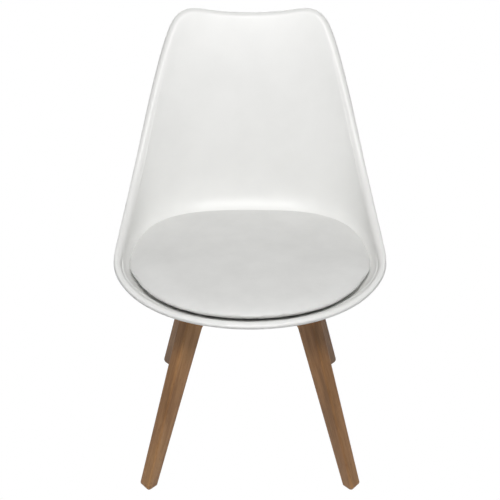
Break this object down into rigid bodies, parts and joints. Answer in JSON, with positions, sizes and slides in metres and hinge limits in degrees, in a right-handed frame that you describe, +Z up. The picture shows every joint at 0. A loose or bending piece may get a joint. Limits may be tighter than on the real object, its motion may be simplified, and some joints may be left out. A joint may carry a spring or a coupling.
{
  "type": "side chair",
  "caption": "Moulded shell chair with a flowing bucket seat, rolled lip, oval padded cushion and a crossed base of splayed tapered beech legs.",
  "frame": {"origin": "on the floor, under the middle of the chair's bounding box", "axes": "+Z up, +Y towards the back of the chair, +X to the right as seen from the front"},
  "size_m": [0.5015, 0.5418, 0.8234],
  "materials": {
    "shell_plastic": "satin moulded",
    "cover_leather": "fine grain",
    "foam": "open cell",
    "board": "moulded",
    "beech": "oiled",
    "steel": "zinc plated",
    "brass": "turned",
    "rubber": "matte"
  },
  "bodies": {
    "root": {"seat_shell": "shell_plastic", "cushion_cover": "cover_leather", "cushion_foam": "foam", "cushion_board": "board", "cushion_screws": "steel", "boss_inserts": "brass", "spacer_pads": "rubber", "seat_bolts": "steel", "spring_washers": "steel", "flat_washers": "steel", "leg_front_left": "beech", "leg_front_right": "beech", "leg_rear_left": "beech", "leg_rear_right": "beech", "rail_lower": "beech", "rail_upper": "beech"}
  },
  "joints": []
}
